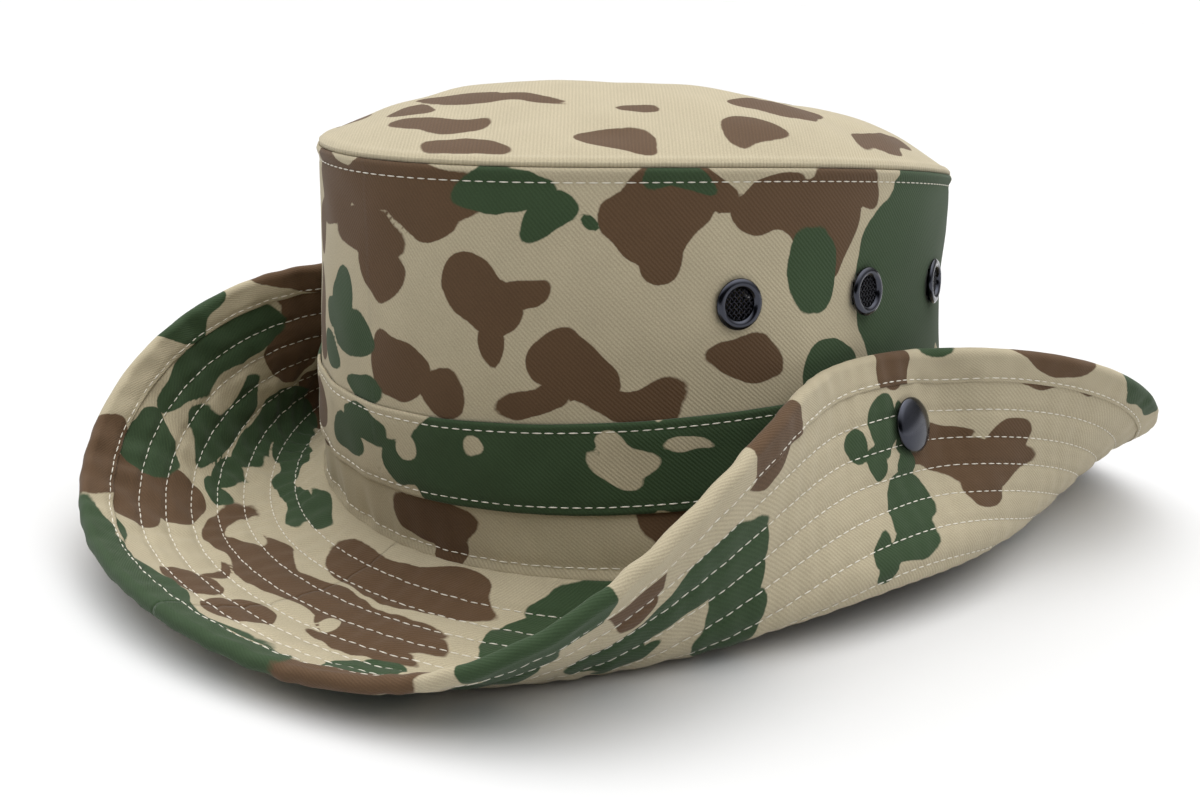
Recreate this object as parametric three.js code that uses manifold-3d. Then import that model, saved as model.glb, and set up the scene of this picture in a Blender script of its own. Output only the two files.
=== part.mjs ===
// Wide-brimmed cloth bush hat with snapped-up sides, in millimetres, +Z up.
// The front of the hat faces -Y and the wearer's left is +X. The hat stands on the low front and
// back of its brim, and its origin is on that plane, under the middle of the hat.
//
// Every cloth piece is a slab that follows one of two surfaces: the crown wall or the brim.
// A bearing is the angle round the hat, 0 at the front and 90 degrees at the wearer's left.
import * as THREE from 'three';
import { mergeVertices } from 'three/addons/utils/BufferGeometryUtils.js';
import Module from 'manifold-3d';

const wasm = await Module();
wasm.setup();

// ---- driving dimensions -----------------------------------------------------------------------
const GAP = 0.3; // air between neighbouring pieces

const crown = {
  baseLong: 94.5, // half length of the oval at the base seam, front to back
  baseWide: 98.5, // half width at the base seam
  topLong: 106.5, // half length of the oval at the top seam
  topWide: 78, // half width at the top seam
  taper: 2.34, // how quickly the wall turns upright above the base
  wall: 97.5, // base seam to top seam
  dome: 19.5, // rise of the top panel above its seam
  domePower: 2.9, // 2 is a round dome, more is flatter in the middle
  hem: 0.5, // how far the wall kicks out at the base seam
  hemReach: 8, // height in which that kick fades out
  slopeBack: 0.077, // the top seam is lower at the back, per millimetre of length
  slopeRight: 0.032, // and lower at the wearer's right, per millimetre of width
  topSag: 3, // the top seam is lower at the front and back than at the sides
  baseSag: 4.8, // the base seam too
  baseRise: 3, // mean height of the base seam over the brim's datum
  cloth: 1, // thickness of the wall and of the top panel
};
const band = { low: 16.8, width: 22, from: 0.3, to: 1.3 }; // the strip sewn round the crown
const sweat = { low: 1, width: 29, from: -3.6, to: -2.8 }; // the tape inside the crown

const brim = {
  width: 76, // along the cloth, from the base seam to the rim
  start: 0.6, // the plies start this far from the base seam
  upper: [0.7, 1.4], // each ply's faces, measured from the middle of the brim
  lining: [-0.4, 0.4],
  lower: [-1.4, -0.7],
  rows: 7, // spans in each ply, from the crown to the rim
  foldAt: 113, // distance of the fold line from the middle of the hat, in the flat cloth
};
// The brim's slope along its width, in degrees, changes from rootSlope at the crown to rimSlope
// at the rim over foldShare of its width. Each is a mean value, a few waves round the hat, and
// dips of [bearing, spread, amount] where one stretch hangs or lies differently.
const rootSlope = {
  mean: -29.5, front: -25, left: -13.5, twofold: 33, dips: [[180, 26, -50], [220, 28, -20], [335, 20, -6]],
};
const rimSlope = {
  mean: 60.5, front: 14, left: -2, twofold: -65, threefoldFront: -1.5, threefoldLeft: -1.5, fourfold: 5.5,
  sixfold: 5, dips: [[180, 26, 22]],
};
const foldShare = { mean: 0.64, front: -0.14, twofold: 0.285, dips: [[180, 26, -0.2]] };
const restDepth = 8.7; // the brim lies flat where its middle is this far below the datum
// Near each snap the rim stands up straighter, along the crown.
const relax = { slope: 24.5, bearing: 93, spread: 26, from: 0.52, over: 0.28 };

// A drill goes this far to each side of the cloth, and the flap's sides stop this far inside its end.
const drillReach = 6;
const sideInset = 1.5;
const binding = { width: 9, face: 2.3, inside: 1.8, edge: 0.6, shoulder: 1.5 };
const flapEnd = 43.7; // bearing where each flap's end crosses the binding, from the front or back
const flapSlit = 0.3; // width of the slit between flap and brim, in degrees at the rim

const vent = { height: 64.8, middle: 88.4, pitch: 24.7, hole: 4.9, barrel: 4.6, bore: 4, rim: 6.5 };
const snap = {
  bearing: 90.5, // of the stud on the crown, and of the socket along the brim
  height: 27.5, // of the stud over the base seam
  fromRim: 20.2, // of the socket, along the cloth
  standoff: 6.3, // crown wall to the middle of the brim, when closed
  capRadius: 7.5,
  hole: 2.8,
  stemRadius: 1.6,
  postHole: 2.2,
  pullSpread: 29, // degrees each way over which a closed snap draws the brim in
  pullFrom: 0.2, // share of the brim's width where that starts
  pullOver: 0.53, // and the share over which it builds up
  flat: 22, // the brim lies parallel to the crown wall within about this distance of a snap
};

const rad = THREE.MathUtils.degToRad;
const smooth = (value) => THREE.MathUtils.smoothstep(value, 0, 1);
const spread = (from, to, spans) =>
  Array.from({ length: spans + 1 }, (_, k) => from + ((to - from) * k) / spans);

// ---- finishes ---------------------------------------------------------------------------------
const finish = (color, roughness, metalness = 0) =>
  new THREE.MeshStandardMaterial({ color, roughness, metalness });
const camoTwill = finish('#a8977a', 0.9);
const camoBand = finish('#3f4d3a', 0.9);
const camoBinding = finish('#8f7a5c', 0.9);
const liningFelt = finish('#cfc6b2', 0.95);
const sweatTape = finish('#6f6a55', 0.9);
const gunmetal = finish('#26272b', 0.3, 0.9);
const ventScreen = finish('#1b1c20', 0.45, 0.6);
const brightSteel = finish('#8d9096', 0.35, 0.9);

// ---- the two surfaces -------------------------------------------------------------------------
const angleBetween = (a, b) => Math.abs(Math.atan2(Math.sin(a - b), Math.cos(a - b)));
const bell = (angle, bearing, spread) => Math.exp(-((angleBetween(angle, rad(bearing)) / rad(spread)) ** 2));

function oval(long, wide, angle) {
  return new THREE.Vector3(wide * Math.sin(angle), -long * Math.cos(angle), 0);
}

function ovalNormal(long, wide, angle) {
  return new THREE.Vector3(Math.sin(angle) / wide, -Math.cos(angle) / long, 0).normalize();
}

// A point of the crown wall's outer face, or of a face parallel to it.
function wallPoint(angle, height, offset = 0) {
  const share = height / crown.wall;
  const base = (1 - share) ** crown.taper;
  const kick = crown.hem * Math.exp(-height / crown.hemReach);
  const long = crown.topLong + (crown.baseLong - crown.topLong) * base + kick;
  const wide = crown.topWide + (crown.baseWide - crown.topWide) * base + kick;
  const twofold = Math.cos(2 * angle);
  const point = oval(long, wide, angle);
  point.z = height + (crown.slopeRight * point.x - crown.slopeBack * point.y) * share
    - crown.topSag * twofold * share
    + (crown.baseRise - crown.baseSag * twofold) * (1 - share);
  return point.addScaledVector(ovalNormal(long, wide, angle), offset);
}

function wallNormal(angle, height) {
  const step = 0.01;
  const along = wallPoint(angle + step, height).sub(wallPoint(angle - step, height));
  const up = wallPoint(angle, height + 1).sub(wallPoint(angle, height - 1));
  return along.cross(up).normalize();
}

const waves = (set, angle) => set.mean
  + (set.front ?? 0) * Math.cos(angle)
  + (set.left ?? 0) * Math.sin(angle)
  + (set.twofold ?? 0) * Math.cos(2 * angle)
  + (set.threefoldFront ?? 0) * Math.cos(3 * angle)
  + (set.threefoldLeft ?? 0) * Math.sin(3 * angle)
  + (set.fourfold ?? 0) * Math.cos(4 * angle)
  + (set.sixfold ?? 0) * Math.cos(6 * angle)
  + set.dips.reduce((sum, [bearing, spreadAngle, amount]) => sum + amount * bell(angle, bearing, spreadAngle), 0);

// The brim as its slopes alone make it: a step by step walk along the cloth.
function freeBrim(angle, along) {
  const steps = 40;
  const root = waves(rootSlope, angle);
  const rim = waves(rimSlope, angle);
  const share = waves(foldShare, angle);
  const eased = bell(angle, relax.bearing, relax.spread) + bell(angle, -relax.bearing, relax.spread);
  const long = crown.baseLong + crown.hem;
  const wide = crown.baseWide + crown.hem;
  let out = 0;
  let up = crown.baseRise - crown.baseSag * Math.cos(2 * angle);
  for (let step = 0; step < steps; step += 1) {
    const place = ((step + 0.5) / steps) * (along / brim.width);
    const slope = rad(root + (rim - root) * smooth(place / share)
      - relax.slope * eased * smooth((place - relax.from) / relax.over));
    out += (Math.cos(slope) * along) / steps;
    up += (Math.sin(slope) * along) / steps;
  }
  const point = oval(long, wide, angle).addScaledVector(ovalNormal(long, wide, angle), out);
  point.z = Math.max(up, -restDepth);
  return point;
}

// Each closed snap draws the brim to its place at the crown.
const snaps = [1, -1].map((side) => {
  const angle = side * rad(snap.bearing);
  const foot = wallPoint(angle, snap.height);
  const axis = wallNormal(angle, snap.height);
  const seat = foot.clone().addScaledVector(axis, snap.standoff);
  const pull = seat.clone().sub(freeBrim(angle, brim.width - snap.fromRim));
  return { side, foot, axis, seat, pull };
});

function brimMiddle(angle, along) {
  const point = freeBrim(angle, along);
  const share = smooth((along / brim.width - snap.pullFrom) / snap.pullOver);
  for (const { side, axis, seat, pull } of snaps) {
    point.addScaledVector(pull, share * bell(angle, side * snap.bearing, snap.pullSpread));
    const offPlane = point.clone().sub(seat).dot(axis);
    point.addScaledVector(axis, -offPlane * Math.exp(-((point.distanceTo(seat) / snap.flat) ** 4)));
  }
  return point;
}

// Offset is towards the upper face, which faces the crown where the brim is turned up.
function brimPoint(angle, along, offset) {
  const step = 0.01;
  const out = brimMiddle(angle, along + 0.5).sub(brimMiddle(angle, along - 0.5));
  const round = brimMiddle(angle + step, along).sub(brimMiddle(angle - step, along));
  return brimMiddle(angle, along).addScaledVector(out.cross(round).normalize(), offset);
}

// ---- solids -----------------------------------------------------------------------------------
function toGeometry(points, indices) {
  const geometry = new THREE.BufferGeometry();
  const coordinates = points.flatMap((p) => [p.x, p.y, p.z]);
  geometry.setAttribute('position', new THREE.Float32BufferAttribute(coordinates, 3));
  geometry.setIndex(indices);
  return volume(geometry) < 0 ? insideOut(geometry) : geometry;
}

function volume(geometry) {
  const position = geometry.getAttribute('position');
  const corners = [new THREE.Vector3(), new THREE.Vector3(), new THREE.Vector3()];
  let total = 0;
  for (let at = 0; at < geometry.index.count; at += 3) {
    corners.forEach((corner, k) => corner.fromBufferAttribute(position, geometry.index.getX(at + k)));
    total += corners[0].dot(corners[1].clone().cross(corners[2])) / 6;
  }
  return total;
}

function insideOut(geometry) {
  const index = Array.from(geometry.index.array);
  for (let at = 0; at < index.length; at += 3) [index[at], index[at + 1]] = [index[at + 1], index[at]];
  geometry.setIndex(index);
  return geometry;
}

// A closed slab. Columns run round the hat, rows run across the piece, and pointAt gives a point
// of the under face (face 0) or the upper face (face 1). Both faces are split into triangles along
// the same diagonals, so that slabs on one surface nest.
function slab(columns, rows, closed, pointAt) {
  const points = [];
  for (let face = 0; face < 2; face += 1) {
    for (let c = 0; c < columns; c += 1) {
      for (let r = 0; r <= rows; r += 1) points.push(pointAt(c, r, face));
    }
  }
  const at = (c, r, face) => (face * columns + (c % columns)) * (rows + 1) + r;
  const indices = [];
  const quad = (a, b, c, d) => indices.push(a, b, c, a, c, d);
  const spans = closed ? columns : columns - 1;
  for (let c = 0; c < spans; c += 1) {
    for (let r = 0; r < rows; r += 1) {
      quad(at(c, r, 1), at(c + 1, r, 1), at(c + 1, r + 1, 1), at(c, r + 1, 1));
      quad(at(c, r, 0), at(c, r + 1, 0), at(c + 1, r + 1, 0), at(c + 1, r, 0));
    }
    quad(at(c, 0, 0), at(c + 1, 0, 0), at(c + 1, 0, 1), at(c, 0, 1));
    quad(at(c, rows, 1), at(c + 1, rows, 1), at(c + 1, rows, 0), at(c, rows, 0));
  }
  if (!closed) {
    for (let r = 0; r < rows; r += 1) {
      quad(at(0, r, 0), at(0, r, 1), at(0, r + 1, 1), at(0, r + 1, 0));
      quad(at(spans, r + 1, 0), at(spans, r + 1, 1), at(spans, r, 1), at(spans, r, 0));
    }
  }
  return toGeometry(points, indices);
}

// A strip swept round the brim, with a cross-section given as [along the cloth, offset] corners,
// anticlockwise. Its faces are split along the same diagonals as the plies inside it.
function brimStrip(section, angles) {
  const points = angles.flatMap((angle) => section.map(([along, offset]) => brimPoint(angle, along, offset)));
  const count = section.length;
  const indices = [];
  for (let c = 0; c < angles.length - 1; c += 1) {
    for (let k = 0; k < count; k += 1) {
      const next = (k + 1) % count;
      const [a, b] = [c * count + k, c * count + next];
      const outward = section[next][0] > section[k][0];
      if (outward) indices.push(a, b, b + count, a, b + count, a + count);
      else indices.push(a, b, a + count, b, b + count, a + count);
    }
  }
  const outline = section.map(([along, offset]) => new THREE.Vector2(along, offset));
  const last = (angles.length - 1) * count;
  for (const [a, b, c] of THREE.ShapeUtils.triangulateShape(outline, [])) {
    indices.push(a, c, b, last + a, last + b, last + c);
  }
  return toGeometry(points, indices);
}

// A turned piece about the line through origin along axis. The profile is [radius, height] pairs.
function turned(profile, origin, axis, sides = 14) {
  const outline = profile.map(([radius, height]) => new THREE.Vector2(radius, height));
  const lathe = new THREE.LatheGeometry(outline, sides);
  const geometry = welded(lathe);
  geometry.applyQuaternion(new THREE.Quaternion().setFromUnitVectors(new THREE.Vector3(0, 1, 0), axis));
  geometry.translate(origin.x, origin.y, origin.z);
  return volume(geometry) < 0 ? insideOut(geometry) : geometry;
}

// Shared corners joined, and the slivers that a lathe leaves on its axis taken out.
function welded(geometry) {
  geometry.deleteAttribute('normal');
  geometry.deleteAttribute('uv');
  const joined = mergeVertices(geometry, 1e-4);
  const kept = [];
  for (let at = 0; at < joined.index.count; at += 3) {
    const [a, b, c] = [0, 1, 2].map((k) => joined.index.getX(at + k));
    if (a !== b && b !== c && a !== c) kept.push(a, b, c);
  }
  joined.setIndex(kept);
  return joined;
}

function asSolid(geometry) {
  const vertProperties = new Float32Array(geometry.getAttribute('position').array);
  const triVerts = new Uint32Array(geometry.index.array);
  return new wasm.Manifold(new wasm.Mesh({ numProp: 3, vertProperties, triVerts }));
}

// The piece with a round hole of the given radius along each line.
function drilled(geometry, lines, radius) {
  let solid = asSolid(geometry);
  for (const { origin, axis } of lines) {
    const drill = turned([[0, -drillReach], [radius, -drillReach], [radius, drillReach], [0, drillReach]], origin, axis);
    solid = solid.subtract(asSolid(drill));
  }
  const { vertProperties, triVerts } = solid.getMesh();
  const cut = new THREE.BufferGeometry();
  cut.setAttribute('position', new THREE.BufferAttribute(new Float32Array(vertProperties), 3));
  cut.setIndex(new THREE.BufferAttribute(new Uint32Array(triVerts), 1));
  return cut;
}

// ---- the scene --------------------------------------------------------------------------------
const hat = new THREE.Group();

function add(name, geometry, material) {
  const mesh = new THREE.Mesh(geometry, material);
  mesh.name = name;
  hat.add(mesh);
}

// ---- crown ------------------------------------------------------------------------------------
const around = 48;
const roundAngle = (column) => (column / around) * 2 * Math.PI;
const ventLines = [1, -1].flatMap((side) => [-1, 0, 1].map((place) => {
  const angle = side * rad(vent.middle + place * vent.pitch);
  return { side, place, origin: wallPoint(angle, vent.height), axis: wallNormal(angle, vent.height) };
}));
const studLines = snaps.map(({ foot, axis }) => ({ origin: foot, axis }));

// A layer of the crown wall between two offsets, with an edge loop at each height.
function wallSlab(heights, from, to) {
  const point = (c, r, face) => wallPoint(roundAngle(c), heights[r], face ? to : from);
  return slab(around, heights.length - 1, true, point);
}

function crownTopPanel() {
  const rings = 5;
  const domeHeight = (share) => crown.dome * (1 - share ** crown.domePower);
  const seam = (column) => wallPoint(roundAngle(column), crown.wall);
  const pointAt = (c, r, face) => {
    const share = Math.sin((r / rings) * (Math.PI / 2));
    const point = seam(c);
    const middle = new THREE.Vector3(0, 0, crown.wall);
    point.lerpVectors(middle, point, share);
    point.z += domeHeight(share) + face * crown.cloth;
    return point;
  };
  return welded(slab(around, rings, true, pointAt));
}

add('crown_top_panel', crownTopPanel(), camoTwill);
const bandHeights = spread(band.low, band.low + band.width, 2);
const wallHeights = [GAP, 4, 10, ...bandHeights, 52, 66, 80, crown.wall - GAP];
const wallPanel = wallSlab(wallHeights, -crown.cloth, 0);
const ventedPanel = drilled(wallPanel, ventLines, vent.hole);
add('crown_side_panel', drilled(ventedPanel, studLines, snap.postHole), camoTwill);
add('hatband', drilled(wallSlab(bandHeights, band.from, band.to), studLines, snap.postHole), camoBand);
const sweatHeights = [sweat.low, 4, 10, ...bandHeights.slice(0, 2), sweat.low + sweat.width];
add('sweatband', wallSlab(sweatHeights, sweat.from, sweat.to), sweatTape);

// ---- mesh vents -------------------------------------------------------------------------------
const ventPlace = { '-1': 'front', 0: 'middle', 1: 'rear' };
for (const { side, place, origin, axis } of ventLines) {
  const name = `${side > 0 ? 'left' : 'right'}_${ventPlace[place]}_vent`;
  const { bore, barrel, rim, hole } = vent;
  const flange = [
    [bore, -2.4], [barrel, -2.4], [barrel, 0.5], [rim, 0.5],
    [rim - 0.2, 1.2], [bore + 0.8, 1.7], [bore, 1.2], [bore, -2.4],
  ];
  const screen = [[0, 0.2], [bore - GAP, 0.2], [bore - GAP, 0.6], [0, 0.6]];
  const washer = [[hole, -2.3], [rim, -2.3], [rim, -1.7], [hole, -1.7], [hole, -2.3]];
  add(`${name}_flange`, turned(flange, origin, axis), gunmetal);
  add(`${name}_screen`, turned(screen, origin, axis), ventScreen);
  add(`${name}_washer`, turned(washer, origin, axis), brightSteel);
}

// ---- brim and flaps ---------------------------------------------------------------------------
const brimNormalX = (angle) => ovalNormal(crown.baseLong + crown.hem, crown.baseWide + crown.hem, angle).x;

// How far along the cloth the straight fold line crosses this bearing.
function foldAlong(angle) {
  const across = Math.abs(brimNormalX(angle));
  if (across < 0.2) return Infinity;
  return (brim.foldAt - (crown.baseWide + crown.hem) * Math.abs(Math.sin(angle))) / across;
}

const plyEnd = brim.width - binding.edge - GAP;
const sideSpans = 12;
const endSpans = 12;
const endArc = spread(-flapEnd + flapSlit / 2, flapEnd - flapSlit / 2, endSpans);
const sideArc = spread(flapEnd + flapSlit / 2, 180 - flapEnd - flapSlit / 2, sideSpans);
const inRadians = (angles, turn = 0) => angles.map((angle) => rad(angle + turn));
const ringAngles = [
  ...inRadians(endArc), ...inRadians(sideArc), ...inRadians(endArc, 180), ...inRadians(sideArc, 180),
];
const sideSet = new Set([...inRadians(sideArc), ...inRadians(sideArc, 180)]);

// Rows are evenly spaced from the start to an inner line, and the last one is at the end. The inner
// line is where the binding begins or, where the ply stops at the fold, just short of that.
const bindingFrom = brim.width - binding.width;
const rowAlong = (start, inner, end, r, rows) =>
  r === rows ? end : start + ((inner - start) * r) / (rows - 1);

function ringPly([from, to]) {
  return slab(ringAngles.length, brim.rows, true, (c, r, face) => {
    const angle = ringAngles[c];
    const end = foldAlong(angle) - GAP / 2;
    const [inner, last] = sideSet.has(angle) ? [end - sideInset, end] : [bindingFrom, plyEnd];
    return brimPoint(angle, rowAlong(brim.start, inner, last, r, brim.rows), face ? to : from);
  });
}

function flapPly(side, [from, to]) {
  const rows = 5;
  const ply = slab(sideArc.length, rows, false, (c, r, face) => {
    const angle = side * rad(sideArc[c]);
    const start = foldAlong(angle) + GAP / 2;
    return brimPoint(angle, rowAlong(start, bindingFrom, plyEnd, r, rows), face ? to : from);
  });
  const { seat, axis } = snaps.find((one) => one.side === side);
  return drilled(ply, [{ origin: seat, axis }], snap.hole);
}

const bindingSection = [
  [brim.width - binding.width, -binding.face],
  [brim.width - binding.edge, -binding.face],
  [brim.width, -binding.shoulder],
  [brim.width, binding.shoulder],
  [brim.width - binding.edge, binding.face],
  [brim.width - binding.width, binding.face],
  [brim.width - binding.width, binding.inside],
  [brim.width - binding.edge, binding.inside],
  [brim.width - binding.edge, -binding.inside],
  [brim.width - binding.width, -binding.inside],
];

const plies = [
  ['upper_cloth', brim.upper, camoTwill],
  ['interlining', brim.lining, liningFelt],
  ['lower_cloth', brim.lower, camoTwill],
];
for (const [name, faces, material] of plies) add(`brim_${name}`, ringPly(faces), material);
add('brim_front_binding', brimStrip(bindingSection, inRadians(endArc)), camoBinding);
add('brim_back_binding', brimStrip(bindingSection, inRadians(endArc, 180)), camoBinding);

for (const side of [1, -1]) {
  const flap = side > 0 ? 'left_flap' : 'right_flap';
  for (const [name, faces, material] of plies) add(`${flap}_${name}`, flapPly(side, faces), material);
  add(`${flap}_binding`, brimStrip(bindingSection, sideArc.map((angle) => side * rad(angle))), camoBinding);
}

// ---- snap fasteners ---------------------------------------------------------------------------
// Heights are measured from the crown wall on the stud and its post, and from the middle of the
// brim on the cap and the socket.
for (const { side, foot, axis, seat } of snaps) {
  const name = side > 0 ? 'left_snap' : 'right_snap';
  const { capRadius, stemRadius } = snap;
  const cap = [
    [0, -2.5], [stemRadius, -2.5], [stemRadius, 2.3], [capRadius - 0.3, 2.3], [capRadius, 2.7],
    [capRadius - 0.5, 3.4], [capRadius * 0.6, 4.2], [0, 4.5],
  ];
  const socket = [[2, -2.6], [3.8, -2.6], [3.8, -3.6], [5.4, -3.6], [5.6, -2.1], [2, -2.1], [2, -2.6]];
  const post = [[0, -2.4], [5, -2.4], [5, -1.6], [stemRadius, -1.6], [stemRadius, 2], [0, 2]];
  const stud = [
    [0, 2.3], [1.9, 2.3], [1.9, 1.75], [4.5, 1.75], [4.4, 2.2], [3.1, 2.3], [3.3, 2.9], [2.6, 3.4], [0, 3.4],
  ];
  add(`${name}_cap`, turned(cap, seat, axis, 16), gunmetal);
  add(`${name}_socket`, turned(socket, seat, axis), brightSteel);
  add(`${name}_post`, turned(post, foot, axis), brightSteel);
  add(`${name}_stud`, turned(stud, foot, axis), brightSteel);
}

// The hat is moved so that it stands on z = 0 with the origin under the middle of its box.
const box = new THREE.Box3().setFromObject(hat);
const middle = box.getCenter(new THREE.Vector3());
hat.position.set(-middle.x, -middle.y, -box.min.z);

export default hat;
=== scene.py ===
# %% [markdown]
# # A cloth bush hat with its brim snapped up at the sides
#
# The hat's cloth pieces are built here as fine meshes over a plain CAD frame, printed with a
# camouflage pattern, sewn with thread, and lit on a white floor.
#
# Lengths are in millimetres until a mesh is made, because a hat is measured in millimetres.
# A *bearing* is the angle round the hat: 0 at the front, 90 degrees at the wearer's left.

import bpy
import numpy as np
from mathutils import Matrix, Vector


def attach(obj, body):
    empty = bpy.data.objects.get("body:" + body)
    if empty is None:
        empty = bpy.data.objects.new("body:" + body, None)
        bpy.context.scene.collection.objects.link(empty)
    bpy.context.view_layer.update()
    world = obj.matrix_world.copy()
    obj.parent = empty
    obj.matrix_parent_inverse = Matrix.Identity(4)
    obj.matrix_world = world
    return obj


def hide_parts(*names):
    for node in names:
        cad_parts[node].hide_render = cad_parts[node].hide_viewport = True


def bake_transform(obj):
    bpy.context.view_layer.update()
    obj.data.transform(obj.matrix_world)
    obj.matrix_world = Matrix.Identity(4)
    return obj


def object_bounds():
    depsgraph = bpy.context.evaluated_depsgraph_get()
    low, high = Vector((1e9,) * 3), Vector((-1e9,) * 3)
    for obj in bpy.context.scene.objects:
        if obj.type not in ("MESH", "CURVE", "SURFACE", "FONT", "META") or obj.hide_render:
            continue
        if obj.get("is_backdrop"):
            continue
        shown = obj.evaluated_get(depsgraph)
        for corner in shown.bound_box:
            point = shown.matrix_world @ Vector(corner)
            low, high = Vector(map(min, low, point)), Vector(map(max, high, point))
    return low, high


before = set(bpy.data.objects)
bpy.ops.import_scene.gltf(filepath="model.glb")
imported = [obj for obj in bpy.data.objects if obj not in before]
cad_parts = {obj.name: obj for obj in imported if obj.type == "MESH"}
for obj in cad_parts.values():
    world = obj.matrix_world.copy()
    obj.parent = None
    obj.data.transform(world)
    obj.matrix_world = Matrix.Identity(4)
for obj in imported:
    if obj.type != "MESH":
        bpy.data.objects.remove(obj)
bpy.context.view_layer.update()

MM = 0.001
TO_ROW = np.array([-1.07, -0.11, 10.1])  # from the cloth pattern's middle to the frame's origin
print(len(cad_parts), "nodes in the frame")

# %% [markdown]
# ## The two surfaces
#
# Every piece of cloth lies on one of two surfaces: the crown's wall, or the brim.
# Each surface is a function that takes bearings and lengths and returns points, so a stitch or a
# fold can be placed on it as easily as a corner of the mesh.

# %% Sizes
BASE_LONG, BASE_WIDE = 94.5, 98.5
TOP_LONG, TOP_WIDE = 106.5, 78.0
TAPER = 2.34
WALL = 97.5
DOME, DOME_POWER = 19.5, 2.9
HEM, HEM_REACH = 0.5, 8.0
SLOPE_BACK, SLOPE_RIGHT = 0.077, 0.032
TOP_SAG, BASE_SAG, BASE_RISE = 3.0, 4.8, 3.0
BRIM = 76.0
BINDING = 9.0
REST_DEPTH = 8.7
ROOT = dict(mean=-29.5, front=-25, left=-13.5, two=33, dips=[(180, 26, -50), (220, 28, -20), (335, 20, -6)])
RIM = dict(mean=60.5, front=14, left=-2, two=-65, three=-1.5, three_left=-1.5, four=5.5, six=5,
           dips=[(180, 26, 22)])
FOLD = dict(mean=0.64, front=-0.14, two=0.285, dips=[(180, 26, -0.2)])
SNAP_BEARING, SNAP_HEIGHT, SNAP_FROM_RIM, SNAP_STANDOFF = 90.5, 27.5, 20.2, 6.3
VENT_HEIGHT, VENT_MIDDLE, VENT_PITCH = 64.8, 88.4, 24.7
RELAX_BEARING, RELAX_SPREAD, RELAX_SLOPE = 93, 26, 24.5  # the rim stands up straighter by the snaps
RELAX_FROM, RELAX_OVER = 0.52, 0.28
PULL_SPREAD, PULL_FROM, PULL_OVER, SEAT_FLAT = 29, 0.2, 0.53, 22  # how a closed snap draws the cloth in
UPPER, LINING, UNDER = (0.7, 1.4), (-0.4, 0.4), (-1.4, -0.7)  # each layer's faces, from the brim's middle
FIRST_ROW, ROW_PITCH, ROW_COUNT = 11, 8, 7
WALL_RADIUS, BRIM_RADIUS, RIM_RADIUS = 97, 140, 168  # mean radii that turn bearings into lengths of print


# %% Surfaces
def smooth(value):
    value = np.clip(value, 0, 1)
    return value * value * (3 - 2 * value)


def bell(angle, bearing, spread):
    """1 at a bearing, fading out over a spread, both in degrees."""
    away = angle - np.radians(bearing)
    return np.exp(-((np.arctan2(np.sin(away), np.cos(away)) / np.radians(spread)) ** 2))


def unit(vectors):
    return vectors / np.linalg.norm(vectors, axis=-1, keepdims=True)


def wall(angle, height, offset=0.0):
    """Points of the crown wall's outer face, or of a face parallel to it."""
    angle, height = np.broadcast_arrays(np.asarray(angle, float), height)
    share = height / WALL
    base = np.clip(1 - share, 0, None) ** TAPER
    kick = HEM * np.exp(-height / HEM_REACH)
    long = TOP_LONG + (BASE_LONG - TOP_LONG) * base + kick
    wide = TOP_WIDE + (BASE_WIDE - TOP_WIDE) * base + kick
    x, y = wide * np.sin(angle), -long * np.cos(angle)
    two = np.cos(2 * angle)
    z = height + (SLOPE_RIGHT * x - SLOPE_BACK * y - TOP_SAG * two) * share
    z = z + (BASE_RISE - BASE_SAG * two) * (1 - share)
    out = unit(np.stack([np.sin(angle) / wide, -np.cos(angle) / long, 0 * angle], -1))
    return np.stack([x, y, z], -1) + out * np.asarray(offset)[..., None]


def wall_normal(angle, height):
    along = wall(angle + 0.01, height) - wall(angle - 0.01, height)
    up = wall(angle, height + 1) - wall(angle, height - 1)
    return unit(np.cross(along, up))


def waves(shape, angle):
    total = shape["mean"] + shape.get("front", 0) * np.cos(angle) + shape.get("left", 0) * np.sin(angle)
    total = total + shape["two"] * np.cos(2 * angle) + shape.get("three", 0) * np.cos(3 * angle)
    total = total + shape.get("three_left", 0) * np.sin(3 * angle) + shape.get("four", 0) * np.cos(4 * angle)
    total = total + shape.get("six", 0) * np.cos(6 * angle)
    return total + sum(amount * bell(angle, bearing, spread) for bearing, spread, amount in shape["dips"])


def free_brim(angle, along):
    """The brim as its slopes alone make it, walked step by step along the cloth."""
    angle, along = np.broadcast_arrays(np.asarray(angle, float), np.asarray(along, float))
    root, rim, fold = waves(ROOT, angle), waves(RIM, angle), waves(FOLD, angle)
    eased = bell(angle, RELAX_BEARING, RELAX_SPREAD) + bell(angle, -RELAX_BEARING, RELAX_SPREAD)
    long, wide = BASE_LONG + HEM, BASE_WIDE + HEM
    out, up = 0 * angle, BASE_RISE - BASE_SAG * np.cos(2 * angle)
    steps = 40
    for step in range(steps):
        place = (step + 0.5) / steps * along / BRIM
        slope = root + (rim - root) * smooth(place / fold)
        slope = slope - RELAX_SLOPE * eased * smooth((place - RELAX_FROM) / RELAX_OVER)
        out = out + np.cos(np.radians(slope)) * along / steps
        up = up + np.sin(np.radians(slope)) * along / steps
    out_way = unit(np.stack([np.sin(angle) / wide, -np.cos(angle) / long, 0 * angle], -1))
    point = np.stack([wide * np.sin(angle), -long * np.cos(angle), 0 * angle], -1) + out_way * out[..., None]
    over = up + REST_DEPTH  # the lowest stretches lie on the floor, easing into it
    point[..., 2] = (over + np.sqrt(over * over + 0.8)) / 2 - REST_DEPTH
    return point


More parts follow.
